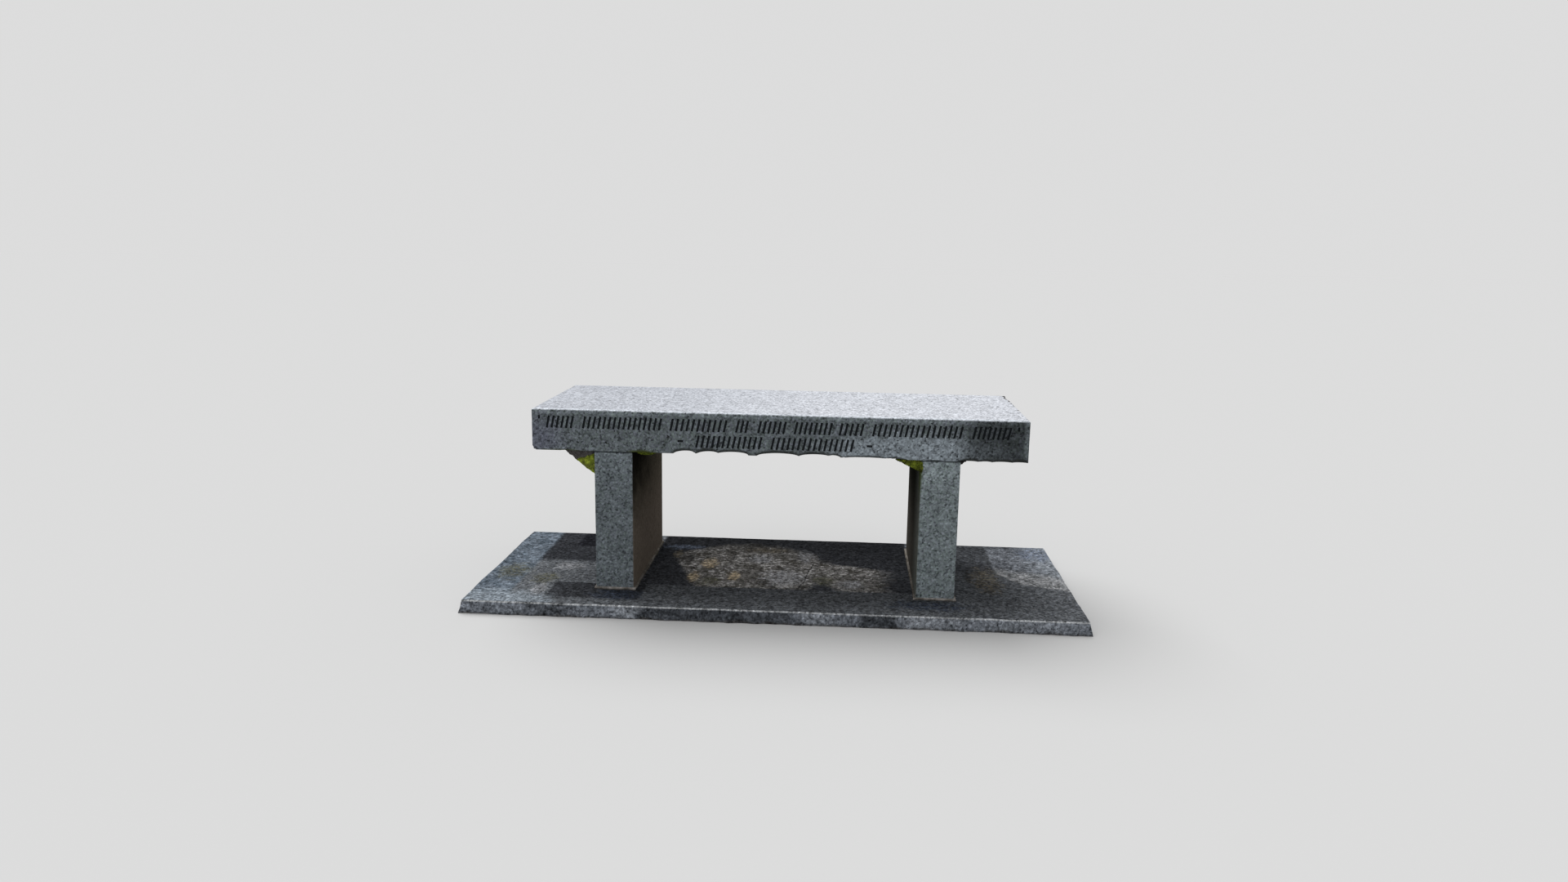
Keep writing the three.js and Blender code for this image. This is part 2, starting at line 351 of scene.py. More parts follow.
def wall_cutter(name, low, high, side, divisions):
    """A block just outside a side of a slab, divided finely, whose face on the slab is then worked.
    side is the axis and sign of the way out, such as ("Y", -1)."""
    cutter = block(name, low, high)
    for axis, halvings in enumerate(divisions):
        divide(cutter, axis, halvings)
    axis = "XYZ".index(side[0])
    face = (low if side[1] > 0 else high)[axis]
    weigh(cutter, "face", lambda place: 1.0 if abs(place[axis] - face) < 1e-6 else 0.0)
    return cutter


def pitched_side(side):
    """A cutter that leaves one side of the base slab pitched: an uneven arris, and under it a hammered face
    that stands out to the ground."""
    axis = "XYZ".index(side[0])
    low = BASE_LOW - Vector((1, 1, 1)) * CUTTER_SPARE
    high = BASE_HIGH + Vector((1, 1, 1)) * CUTTER_SPARE
    if side[1] > 0:
        low[axis] = BASE_HIGH[axis] - PITCH_OUT
    else:
        high[axis] = BASE_LOW[axis] + PITCH_OUT
    halvings = (0, 7, 4) if axis == 0 else (8, 0, 4)
    cutter = wall_cutter("pitch", low, high, side, halvings)
    face = (low if side[1] > 0 else high)[axis]

    def bulge(place):
        if abs(place[axis] - face) > 1e-6:
            return 0.0
        down = (BASE_TOP - place.z) / (BASE_TOP - BASE_LOW.z)
        return min(1.0, max(0.0, down)) ** PITCH_CURVE

    weigh(cutter, "bulge", bulge)
    push(cutter, side[0], side[1] * PITCH_OUT, None, "bulge", 0)
    push(cutter, side[0], side[1] * PITCH_SWELL, clouds("pitch_swell", 90 * MM), "face", 0.62)
    push(cutter, side[0], side[1] * PITCH_SCOOPS, scoops("pitch_scoops", 34 * MM), "bulge", 0.5)
    push(cutter, side[0], side[1] * PITCH_GRAIN, clouds("pitch_grain", 9 * MM, 3), "face", 0.5)
    return cutter


def split_end(sign):
    """A cutter that leaves one end of the seat split and roughly dressed."""
    low = SEAT_LOW - Vector((1, 1, 1)) * CUTTER_SPARE
    high = SEAT_HIGH + Vector((1, 1, 1)) * CUTTER_SPARE
    if sign > 0:
        low.x = SEAT_HIGH.x - END_HOLLOW
    else:
        high.x = SEAT_LOW.x + END_HOLLOW
    cutter = wall_cutter("split_end", low, high, ("X", sign), (0, 7, 5))
    push(cutter, "X", sign * END_SWELL, clouds("split_swell", 60 * MM), "face", 0.5)
    push(cutter, "X", sign * END_SCOOPS, scoops("split_scoops", 26 * MM), "face", 0.3)
    push(cutter, "X", sign * END_GRAIN, clouds("split_grain", 7 * MM, 3), "face", 0.5)
    return cutter


def flake(place, size, fineness=3, rough=0.8 * MM):
    """A lumpy lens: where it cuts an arris it leaves the bowl of a struck-off flake."""
    deselect()
    bpy.ops.mesh.primitive_ico_sphere_add(subdivisions=fineness, radius=1, location=place)
    cutter = bpy.context.object
    cutter.scale = size
    settle(cutter)
    push(cutter, "NORMAL", rough, clouds("flake_lumps", 16 * MM), "", 0.5)
    return cutter


def front_flakes():
    """The flakes along the lower front arris, with the teeth between them bruised away."""
    flakes = []
    for at, width, rise in FLAKES:
        place = (SEAT_MIDDLE + at * MM, SEAT_FRONT, SEAT_UNDER)
        size = (width / 2 * MM, FLAKE_DEPTH, rise * MM)
        flakes.append(flake(place, size, fineness=4, rough=FLAKE_LUMPS))
    for (at, width, _), (next_at, next_width, _) in zip(FLAKES, FLAKES[1:]):
        end = at + width / 2
        start = next_at - next_width / 2
        if start - end < TOOTH_GAP:
            place = (SEAT_MIDDLE + (end + start) / 2 * MM, SEAT_FRONT, SEAT_UNDER)
            flakes.append(flake(place, TOOTH_BRUISE))
    for at, width, rise in END_FLAKES:
        place = (SEAT_MIDDLE + at * MM, SEAT_FRONT, SEAT_UNDER)
        flakes.append(flake(place, (width / 2 * MM, END_FLAKE_DEPTH, rise * MM), rough=FLAKE_LUMPS))
    return flakes


def seat_flakes():
    chance = random.Random(4)
    flakes = front_flakes()
    flakes.append(flake((SEAT_LOW.x, SEAT_FRONT, SEAT_UNDER), CORNER_LOSS))
    for back, length, depth in TOP_CHIPS:
        place = (SEAT_HIGH.x, SEAT_HIGH.y - back * MM, SEAT_TOP)
        flakes.append(flake(place, (depth * MM, length / 2 * MM, depth * MM), rough=FLAKE_LUMPS))
    for _ in range(SEAT_BRUISES):
        at = chance.uniform(SEAT_LOW.x + 0.03, SEAT_HIGH.x - 0.03)
        side = SEAT_HIGH.y if chance.random() < 0.6 else SEAT_FRONT
        wide = chance.uniform(8, 26) * MM
        flakes.append(flake((at, side, SEAT_UNDER), (wide, wide * 0.5, chance.uniform(1.5, 4) * MM)))
    for end in (SEAT_LOW.x, SEAT_HIGH.x):
        for level in (SEAT_UNDER, SEAT_TOP):
            for _ in range(END_BRUISES):
                at = chance.uniform(SEAT_LOW.y + 0.02, SEAT_HIGH.y - 0.02)
                wide = chance.uniform(8, 24) * MM
                size = (chance.uniform(2.5, 6) * MM, wide, chance.uniform(2, 5) * MM)
                flakes.append(flake((end, at, level), size))
    return flakes


# Inscription


def stroke_places():
    """Where each stroke goes, as (x, z, length, lean)."""
    places = []
    for baseline, groups in ((UPPER_BASELINE, UPPER_GROUPS), (LOWER_BASELINE, LOWER_GROUPS)):
        for start, end, count in groups:
            step = (end - start) / count
            for number in range(count):
                x = start + step * (number + 0.5)
                places.append((x, baseline + STROKE_LENGTH / 2, STROKE_LENGTH, STROKE_LEAN))
    tick_middle = UPPER_BASELINE + STROKE_LENGTH - TICK_LENGTH / 2
    places += [(x, tick_middle, TICK_LENGTH, 0) for x in UPPER_ENDS]
    places += [(x, LOWER_BASELINE + STROKE_LENGTH / 2, DASH_LENGTH, 90) for x in LOWER_ENDS]
    return places


def stroke_cutter(length):
    """A cutter for one stroke, at the origin: straight outside the face, sloping inside it."""
    half = length * MM / 2
    corner = Vector((STROKE_WIDTH / 2, STROKE_SINK, half))
    cutter = block("stroke", corner * -1 + Vector((0, STROKE_SINK, 0)), corner)
    pick(cutter, "FACE", lambda face: face.normal.y < -0.9)
    bpy.ops.mesh.extrude_region_move(TRANSFORM_OT_translate={"value": (0, -2 * MM, 0)})
    done()
    pick(cutter, "FACE", lambda face: face.normal.y > 0.9)
    narrow = STROKE_FLOOR / STROKE_WIDTH
    shorter = 1 - (STROKE_WIDTH - STROKE_FLOOR) / (2 * half)
    bpy.ops.transform.resize(value=(narrow, 1, shorter), center_override=(0, STROKE_SINK, 0))
    done()
    return cutter


def inscription_cutter():
    """Every stroke of both rows, as one cutter."""
    first = {}
    strokes = []
    for x, z, length, lean in stroke_places():
        if length not in first:
            first[length] = stroke_cutter(length)
        stroke = first[length].copy()
        stroke.data = first[length].data.copy()
        turn = Matrix.Rotation(math.radians(lean), 4, "Y")
        place = Matrix.Translation((SEAT_MIDDLE + x * MM, SEAT_FRONT, SEAT_UNDER + z * MM))
        stroke.data.transform(place @ turn)
        bpy.context.scene.collection.objects.link(stroke)
        strokes.append(stroke)
    for pattern in first.values():
        bpy.data.objects.remove(pattern)
    take(strokes[0])
    for stroke in strokes:
        stroke.select_set(True)
    bpy.ops.object.join()
    return strokes[0]


# Pieces


def build_seat():
    seat = block("seat_stone", SEAT_LOW, SEAT_HIGH)
    ease_edges(seat, SEAT_EASE, 3, lambda edge: edge_middle(edge).z > SEAT_TOP - MM or runs_along(edge, 2))
    ease_edges(seat, SEAT_UNDER_EASE, 1, lambda edge: edge_middle(edge).z < SEAT_UNDER + 1e-6)
    cut(seat, [split_end(-1), split_end(1)])
    cut(seat, seat_flakes())
    cut(seat, [inscription_cutter()])
    return seat


def build_base():
    base = block("base_stone", BASE_LOW, BASE_HIGH)
    cut(base, [pitched_side(side) for side in (("Y", -1), ("Y", 1), ("X", -1), ("X", 1))])
    return base


def build_leg(side):
    low, high = LEG_BOXES[side]
    leg = block(f"{side}_leg_stone", low, high)
    ease_edges(leg, LEG_EASE, 2, lambda edge: True)
    chance = random.Random(side)
    bruises = []
    for x in (low.x, high.x):
        for y in (low.y, high.y):
            for _ in range(LEG_BRUISES):
                tall = chance.uniform(5, 16) * MM
                reach = chance.uniform(1.8, 3.6) * MM
                place = (x, y, chance.uniform(low.z + 0.02, high.z - 0.02))
                bruises.append(flake(place, (reach, reach, tall)))
    cut(leg, bruises)
    return leg


def build_bed(side):
    """The mortar bed: squeezed out round the leg's foot and smeared a little way up it."""
    low, high = BED_BOXES[side]
    bed = block(f"{side}_mortar", low, high + Vector((0, 0, BED_CLIMB)))
    ease_edges(bed, BED_CLIMB, 3, lambda edge: edge_middle(edge).z > high.z)
    divide(bed, 1, 7)
    divide(bed, 0, 5)
    for axis in (0, 1):
        for sign, face in ((-1, low[axis]), (1, high[axis])):
            out = weigh(bed, "out", lambda place: 1 - abs(place[axis] - face) / SQUEEZE_FADE)
            push(bed, "XY"[axis], sign * MORTAR_SQUEEZE, clouds("mortar_squeeze", 24 * MM), out, 0.7)
    leg_low, leg_high = LEG_BOXES[side]
    cut(bed, [block("leg_room", leg_low, leg_high)])
    return bed


def grow_moss(piece, swell):
    """Turns a plain shape into low cushions of moss."""
    mesher = piece.modifiers.new("remesh", "REMESH")
    mesher.mode = "VOXEL"
    mesher.voxel_size = MOSS_VOXEL
    take(piece)
    bpy.ops.object.modifier_apply(modifier=mesher.name)
    push(piece, "NORMAL", swell, clouds("moss_swell", 26 * MM), "", 0.5)
    push(piece, "NORMAL", 2.4 * MM, scoops("moss_cushions", 8 * MM), "", 0.3)
    push(piece, "NORMAL", 1.6 * MM, clouds("moss_tips", 3 * MM, 3), "", 0.5)


def moss_web(name, corner, reach, drop, depth):
    """Moss that fills the corner between a leg's side and the seat's underside, and thins out backwards:
    corner is where they meet at the front, and reach its width along X, negative to the left."""
    end = corner + Vector((reach, depth, -drop))
    web = block(name, Vector(map(min, corner, end)), Vector(map(max, corner, end)))
    pick(web, "FACE", lambda face: True)
    bpy.ops.mesh.bisect(
        plane_co=corner + Vector((reach, 0, 0)),
        plane_no=(math.copysign(drop, reach), 0, -abs(reach)),
        use_fill=True,
        clear_outer=True,
    )
    done()
    divide(web, 1, MOSS_HALVINGS)
    rows = 2**MOSS_HALVINGS
    for row in range(1, rows + 1):
        back = corner.y + depth * row / rows
        pick(web, "EDGE", lambda edge: all(abs(vertex.co.y - back) < 0.1 * MM for vertex in edge.verts))
        thinner = 1 - MOSS_THINNING * (row / rows) ** MOSS_THINNING_CURVE
        bpy.ops.transform.resize(value=(thinner, 1, thinner), center_override=(corner.x, back, corner.z))
        done()
    grow_moss(web, 5 * MM)
    return web


def moss_pad(name, place, size):
    """A low pad of moss on the stone."""
    deselect()
    bpy.ops.mesh.primitive_ico_sphere_add(subdivisions=5, radius=1, location=place)
    pad = bpy.context.object
    pad.name = name
    pad.scale = size
    settle(pad)
    grow_moss(pad, 2 * MM)
    return pad


def build_moss():
    left_side = LEG_BOXES["left"][0].x
    right_side = LEG_BOXES["right"][0].x
    far_side = LEG_BOXES["right"][1].x
    level = SEAT_UNDER + MOSS_LAP
    left_corner = Vector((left_side + MOSS_LAP, LEG_FRONT + 6 * MM, level))
    right_corner = Vector((right_side + MOSS_LAP, LEG_FRONT + 3 * MM, level))
    far_corner = Vector((far_side - MOSS_LAP, LEG_FRONT + 5 * MM, level))
    return [
        moss_web("left_moss", left_corner, *LEFT_WEB),
        moss_web("right_moss", right_corner, *RIGHT_WEB),
        moss_web("right_soil", far_corner, *SOIL_WEB),
        moss_pad(
            "right_arris_moss",
            (right_side + MOSS_LAP, LEG_FRONT + 5 * MM, SEAT_UNDER - 16 * MM),
            (6 * MM, 9 * MM, 17 * MM),
        ),
        moss_pad(
            "left_arris_moss",
            (-0.322, SEAT_FRONT + 12 * MM, SEAT_UNDER - 1 * MM),
            (24 * MM, 9 * MM, 7 * MM),
        ),
    ]


# Finishes. Patterns are laid out in millimetres in the bench's own frame.


class Value:
    """A shader socket, with the usual signs for sums on its number."""

    def __init__(self, finish, socket):
        self.finish = finish
        self.socket = socket

    def also(self, output):
        """Another output of the same node."""
        return Value(self.finish, self.socket.node.outputs[output])

    def math(self, operation, *terms):
        return self.finish.node("ShaderNodeMath", {"operation": operation}, dict(enumerate(terms)))

    def __add__(self, other):
        return self.math("ADD", self, other)

    def __sub__(self, other):
        return self.math("SUBTRACT", self, other)

    def __rsub__(self, other):
        return self.math("SUBTRACT", other, self)

    def __mul__(self, other):
        return self.math("MULTIPLY", self, other)

    __radd__ = __add__
    __rmul__ = __mul__


class Finish:
    """A material in the making."""

    def __init__(self, name):
        self.material = bpy.data.materials.new(name)
        self.material.use_nodes = True
        self.tree = self.material.node_tree
        self.shader = self.tree.nodes["Principled BSDF"]
        metres = self.node("ShaderNodeTexCoord", {}, {}, "Object")
        self.place = self.node("ShaderNodeVectorMath", {"operation": "SCALE"}, {0: metres, "Scale": 1000.0})
        self.x = self.node("ShaderNodeSeparateXYZ", {}, {0: self.place})
        self.y = self.x.also("Y")
        self.z = self.x.also("Z")

    def node(self, kind, settings, inputs, output=0):
        made = self.tree.nodes.new(kind)
        for name, setting in settings.items():
            setattr(made, name, setting)
        for name, value in inputs.items():
            self.feed(made.inputs[name], value)
        return Value(self, made.outputs[output])

    def feed(self, socket, value):
        if isinstance(value, Value):
            self.tree.links.new(value.socket, socket)
        elif isinstance(value, tuple) and len(value) < len(socket.default_value):
            socket.default_value = (*value, 1)
        else:
            socket.default_value = value

    def noise(self, size, seed, detail=3.0, rough=0.5):
        """Soft noise about 0.5, with features of a size in millimetres."""
        settings = {"noise_dimensions": "4D"}
        inputs = {"Vector": self.place, "W": seed, "Scale": 1 / size, "Detail": detail, "Roughness": rough}
        return self.node("ShaderNodeTexNoise", settings, inputs)

    def crystals(self, size):
        """A chance value for each of the crystals, which are about a size across; also() gives two more."""
        cells = self.node("ShaderNodeTexVoronoi", {}, {"Vector": self.place, "Scale": 1 / size}, "Color")
        return self.node("ShaderNodeSeparateColor", {}, {0: cells})

    def rise(self, value, start, end):
        """0 up to start, 1 from end, and a smooth rise between them."""
        settings = {"interpolation_type": "SMOOTHSTEP"}
        return self.node("ShaderNodeMapRange", settings, {"Value": value, "From Min": start, "From Max": end})

    def between(self, value, low, high, soft):
        return self.rise(value, low - soft, low + soft) * (1 - self.rise(value, high - soft, high + soft))

    def mix(self, share, without, full):
        settings = {"data_type": "RGBA"}
        return self.node("ShaderNodeMix", settings, {0: share, 6: without, 7: full}, 2)

    def shade(self, colour, tone):
        return self.node("ShaderNodeVectorMath", {"operation": "SCALE"}, {0: colour, "Scale": tone})

    def stain(self, centre, size, seed, ragged=0.35, soft=0.25, grain=22):
        """1 inside an uneven patch about a centre, 0 outside it."""
        away = self.node("ShaderNodeVectorMath", {"operation": "SUBTRACT"}, {0: self.place, 1: centre})
        shares = self.node("ShaderNodeVectorMath", {"operation": "DIVIDE"}, {0: away, 1: size})
        distance = self.node("ShaderNodeVectorMath", {"operation": "LENGTH"}, {0: shares}, "Value")
        stray = (self.noise(grain, seed, 4.0, 0.6) - 0.5) * (4 * ragged)
        return 1 - self.rise(distance + stray, 1 - soft, 1 + soft)

    def slant(self, point, direction, seed, stray=20, soft=6, grain=40):
        """1 beyond a line on the ground plan, through a point and square to a direction, 0 before it."""
        length = math.hypot(*direction)
        along = self.x * (direction[0] / length) + self.y * (direction[1] / length)
        start = (point[0] * direction[0] + point[1] * direction[1]) / length
        wander = (self.noise(grain, seed, 4.0, 0.6) - 0.5) * stray * 2
        return self.rise(along + wander, start - soft, start + soft)

    def bump(self, height, depth):
        """Relief, where a height of 1 stands a depth in millimetres above a height of 0."""
        inputs = {"Height": height, "Distance": depth * MM, "Strength": 1.0}
        self.feed(self.shader.inputs["Normal"], self.node("ShaderNodeBump", {}, inputs))

    def complete(self, colour, roughness, specular=0.0):
        """Sets the shader's main sockets, and gives the material."""
        self.feed(self.shader.inputs["Base Color"], colour)
        self.feed(self.shader.inputs["Roughness"], roughness)
        self.shader.inputs["Specular IOR Level"].default_value = specular
        return self.material


def millimetres(length):
    return length / MM


def granite(finish):
    """How light each crystal is, about 1: dark mica, grey quartz and pale feldspar. The other values are a
    chance value for tinting and the relief."""
    coarse = finish.crystals(CRYSTAL)
    fine = finish.crystals(FLECK)
    soft = finish.noise(5, 2.0, 2.0)
    broad = finish.noise(16, 3.0)
    mica = 1 - finish.rise(coarse + (broad - 0.5) * 0.4, 0.1, 0.34)
    feldspar = finish.rise(coarse, 0.66, 1.0)
    speck = 1 - finish.rise(fine, 0.1, 0.2)
    tone = 0.98 + 0.42 * feldspar - 0.42 * mica - 0.22 * speck
    tone = tone + 0.3 * (coarse.also("Blue") - 0.5) + 1.6 * (soft - 0.5) + 0.7 * (broad - 0.5)
    relief = 0.5 * coarse.also("Green") + 0.5 * finish.noise(2.5, 5.0)
    return tone, coarse.also("Green"), relief


def seat_finish():
    finish = Finish("seat_granite")
    tone, tint, relief = granite(finish)
    front = millimetres(SEAT_FRONT)
    under = millimetres(SEAT_UNDER)
    top = millimetres(SEAT_TOP)
    middle = millimetres(SEAT_MIDDLE)
    x = finish.x - middle
    y, z = finish.y, finish.z
    cloudy = finish.noise(90, 7.0)

    # Sides: greenish grey, with bluish crystals among them
    side = finish.mix(tint, (0.107, 0.13, 0.128), (0.128, 0.142, 0.165))
    lilac = finish.stain((middle - 610, front, under + 26), (70, 60, 52), 1.0, 0.3, 0.7)
    side = finish.mix(lilac * 0.7, side, (0.125, 0.132, 0.175))
    pale = finish.stain((middle + 325, front, under + 16), (180, 60, 42), 2.0, 0.4, 0.5)
    side = finish.mix(pale, side, (0.235, 0.27, 0.3))
    # The sides darker towards the right end, less so on the end itself, and fading towards the back
    patches = finish.rise(x + (finish.noise(40, 3.5) - 0.5) * 60, 405, 500)
    patches = patches * (1 - 0.8 * finish.rise(x, 594, 602)) * (1 - finish.rise(y, front + 80, front + 260))
    side = finish.shade(side, 1 - 0.6 * patches)
    side = finish.shade(side, 1 + 0.4 * finish.rise(z, top - 14, top - 7))
    side = finish.shade(side, (0.8 + 0.4 * cloudy) * tone)
    # Painted shade: near black on the underside along the front arris and in the flakes struck off it
    flake_shade = finish.rise(y, front + 0.8, front + 3) * (1 - finish.rise(y, front + 34, front + 50))
    flake_shade = flake_shade * (1 - finish.rise(z, under + 13, under + 16)) * finish.between(x, -596, 602, 3)
    for number, (at, width, rise) in enumerate(FLAKES + END_FLAKES):
        rim_size = (width / 2 + 5, 60, rise + 4.5)
        rim = finish.stain((middle + at, front, under), rim_size, 150.0 + number, 0.1, 0.15)
        flake_shade = flake_shade.math("MAXIMUM", flake_shade, rim)
    side = finish.mix(flake_shade * 0.8, side, (0.02, 0.022, 0.02))
    mossy = finish.stain((middle - 335, front, under - 2), (36, 30, 8), 4.0, 0.25, 0.4)
    mossy = mossy.math("MAXIMUM", mossy, finish.stain((middle - 540, front, under), (60, 30, 3.5), 5.0) * 0.6)
    side = finish.mix(mossy, side, (0.04, 0.05, 0.012))

    # Top: bleached, and painted lighter than the sides for the sky's light on it, almost white; a bluer
    # painted sky reflection along the front arris
    bleached_and_sky_lit = finish.mix(cloudy, (0.22, 0.23, 0.255), (0.3, 0.315, 0.345))
    bleached_and_sky_lit = finish.mix(finish.rise(x, -560, 260) * 0.8, bleached_and_sky_lit, (0.345, 0.357, 0.384))
    arris_sky_sheen = 1 - finish.rise(y, front + 8, front + 20)
    bleached_and_sky_lit = finish.mix(arris_sky_sheen * 0.8, bleached_and_sky_lit, (0.36, 0.385, 0.42))
    bleached_and_sky_lit = finish.shade(bleached_and_sky_lit, (0.2 + 0.8 * tone) * (0.94 + 0.12 * finish.noise(30, 8.0, 4.0)))
    on_top = finish.rise(z, top - 3.6, top - 1)
    colour = finish.mix(on_top, side, bleached_and_sky_lit)
    # Painted shade: the chips off the right end's top arris near black
    for number, (back, length, depth) in enumerate(TOP_CHIPS):
        centre = (millimetres(SEAT_HIGH.x), millimetres(SEAT_HIGH.y) - back, top)
        chip_size = (depth + 3, length / 2 + 2, depth + 3)
        chip = finish.stain(centre, chip_size, 170.0 + number, 0.1, 0.2)
        colour = finish.mix(chip * 0.9, colour, (0.022, 0.018, 0.015))

    # Paint in the strokes
    sunk = finish.rise(y, front + 0.08, front + 0.5) * (1 - finish.rise(y, front + 3.6, front + 4.4))
    rows = finish.between(z, under + 12, under + 91, 1) * finish.between(x, -598, 598, 1)
    colour = finish.mix(sunk * rows * 0.95, colour, (0.009, 0.011, 0.013))

    finish.bump(relief, 0.35)
    return finish.complete(colour, 0.75 - 0.1 * on_top + 0.1 * (tint - 0.5), 0.08)


def leg_finish(side):
    finish = Finish(f"{side}_leg_granite")
    tone, tint, relief = granite(finish)
    low, high = LEG_BOXES[side]
    inner = millimetres(high.x if side == "left" else low.x)
    inwards = 1 if side == "left" else -1
    front = millimetres(LEG_FRONT)
    joint_level = millimetres(LEG_TOP)
    x, y, z = finish.x, finish.y, finish.z
    cloudy = finish.noise(45, 11.0)
    face = finish.mix(tint, LEG_TINTS[side][0], LEG_TINTS[side][1])
    paler = LEG_PALE_TOP[side] * finish.rise(z, 270, 370)
    paler = paler + LEG_PALE_FOOT[side] * (1 - finish.rise(z, 50, 150))
    face = finish.shade(face, (0.8 + 0.4 * cloudy) * (0.1 + 0.9 * tone) * (1 + paler))

    # The side between the legs is brown, with painted shade that darkens it towards the seat, to black
    within = finish.rise((x - inner) * inwards, -2.2, -0.4)
    height = finish.rise(z, 120, 350)
    streaks = finish.noise(14, 21.0, 4.0, 0.6)
    if side == "left":
        shaded_brown = finish.mix(height, (0.125, 0.104, 0.085), (0.075, 0.066, 0.05))
        # Painted shadow: black at the top front of the left leg's inner side, under the seat
        seat_shadow = finish.stain((inner, front + 30, joint_level + 20), (60, 220, 140), 33.0, 0.3, 0.7, 60)
        shaded_brown = finish.mix(seat_shadow * 0.96, shaded_brown, (0.006, 0.006, 0.005))
    else:
        ahead = 1 - finish.rise(y, front - 10, front + 200)
        shaded_brown = finish.mix(height, (0.05, 0.046, 0.04), (0.012, 0.013, 0.01))
        shaded_brown = finish.mix(ahead * (1 - 0.35 * height), shaded_brown, (0.12, 0.128, 0.115))
    shaded_brown = finish.shade(shaded_brown, 0.4 + 0.3 * tone + 0.6 * streaks)
    colour = finish.mix(within, face, shaded_brown)

    # Green film that fades down from the right leg's moss, and the dark joint under the seat
    if side == "right":
        film = finish.stain((inner + 4 * inwards, front, joint_level), (8, 60, 84), 31.0, 0.25, 0.6)
        colour = finish.mix(film * 0.95, colour, (0.05, 0.07, 0.02))
    joint = finish.rise(z, joint_level - 5, joint_level - 2)
    colour = finish.shade(colour, 1 - 0.7 * joint)
    finish.bump(relief, 0.5)
    return finish.complete(colour, 0.82 + 0.12 * (tint - 0.5))


def base_finish():
    finish = Finish("base_granite")
    tone, tint, relief = granite(finish)
    x, y, z = finish.x, finish.y, finish.z
    level = millimetres(BASE_TOP)
    cloudy = finish.noise(70, 41.0, 4.0)
    blotch = finish.noise(26, 43.0, 5.0, 0.62)
    fine_blotch = finish.noise(11, 44.0, 4.0, 0.6)
    mottle = finish.noise(9, 45.0, 2.0)
    blotched = finish.rise(blotch, 0.36, 0.62)

    # Whole slab: weathered grey, bluish towards the left end
    stone = finish.mix(tint, (0.07, 0.074, 0.078), (0.084, 0.09, 0.1))
    left_end = 1 - finish.slant((-660, 0), (1, 0), 51.0, 12, 8)
    stone = finish.mix(left_end, stone, finish.mix(blotched, (0.048, 0.06, 0.074), (0.095, 0.112, 0.134)))

    # Painted shadow of the seat and legs: dark before and behind the left leg, between the legs and beside
    # the right one
    behind_left = finish.between(x, -664, -440, 8) * finish.slant((0, 34), (0, 1), 56.0, 20, 16)
    nearest_left = finish.between(x, -606, -440, 16) * finish.rise(y, 110, 190)
    front_left = (1 - finish.slant((0, -146), (0, 1), 55.0, 6, 4)) * finish.between(x, -566, -330, 6)
    front_left = front_left * finish.rise(y, -272, -250)
    before_strip = finish.slant((0, -146), (0, 1), 57.0, 5, 4)
    between_legs = finish.between(x, -352, 352, 5) * before_strip
    beside_right = finish.between(x, 440, 584, 6) * finish.rise(y, 10, 60)
    patches = behind_left * 0.78
    for place, depth in (
        (nearest_left, 0.93),
        (front_left, 0.66),
        (between_legs, 0.7),
        (beside_right, 0.5),
    ):
        patches = patches.math("MAXIMUM", patches, place * depth)
    # Painted shadow: near black where the seat and legs cast shade
    stone = finish.mix(patches, stone, (0.0055, 0.0055, 0.0075))

    # Pale lichen between the legs, on a patch of painted sunlight whose straight edges are the seat's and
    # legs' shadows
    before_left = finish.slant((-262, 12), (1, 0.34), 52.0, 16, 10)
    lichen_and_sunlit = finish.stain((-90, 16, level), (222, 226, 60), 53.0, 0.1, 0.1, 30) * before_left
    grey_half = finish.slant((60, 62), (1, 0.5), 54.0, 18, 12)
    grey_half = grey_half * (1 - finish.slant((210, 60), (0.3, 1), 59.0, 16, 14))
    grey_half = grey_half * (1 - finish.rise(x + (blotch - 0.5) * 120, 240, 320))
    lichen_and_sunlit = lichen_and_sunlit.math("MAXIMUM", lichen_and_sunlit, grey_half) * before_strip
    lichen = finish.mix(finish.rise(blotch, 0.34, 0.52), (0.036, 0.034, 0.03), (0.085, 0.082, 0.078))
    crusted = finish.rise(fine_blotch + (blotch - 0.5) * 0.6 + (cloudy - 0.5) * 0.5, 0.5, 0.66)
    lichen = finish.mix(crusted, lichen, (0.2, 0.196, 0.194))
    stone = finish.mix(lichen_and_sunlit, stone, lichen)

    # Pale corners, and a whiter band across the right end
    corner = finish.stain((-692, -285, level), (130, 58, 80), 71.0, 0.4, 0.5)
    stone = finish.mix(corner * 0.85, stone, (0.14, 0.16, 0.18))
    light_end = finish.slant((700, -63), (0.4, 1), 72.0, 10, 6)
    light_end = light_end * finish.slant((612, 3), (1.66, 1), 73.0, 10, 6)
    light_end = light_end * finish.slant((587, 0), (1, 0), 74.0, 5, 5)
    bluish = finish.mix(blotched, (0.054, 0.058, 0.065), (0.116, 0.125, 0.141))
    bluish = finish.mix(finish.rise(x + (blotch - 0.5) * 90, 640, 740), bluish, (0.133, 0.145, 0.161))
    whiter = 1 - finish.slant((700, 44), (0.4, 1), 75.0, 26, 26)
    bluish = finish.mix(whiter, bluish, finish.mix(blotched, (0.112, 0.116, 0.12), (0.215, 0.219, 0.226)))
    stone = finish.mix(light_end * 0.95, stone, bluish)

    # Stains, lichen and the crack
    for number, (place, size, colour) in enumerate(BASE_STAINS):
        spot = finish.stain((*place, level), (*size, 40), 80.0 + number, 0.65, 0.45, 15)
        stone = finish.mix(spot * (0.25 + 0.65 * finish.rise(fine_blotch, 0.4, 0.58)), stone, colour)
    across_crack = x - y * 0.15 + (finish.noise(34, 47.0) - 0.5) * 24
    crack = finish.between(across_crack, 78.5, 82, 1.5) * finish.between(y, -140, 84, 8)
    stone = finish.shade(stone, 1 - 0.75 * crack)

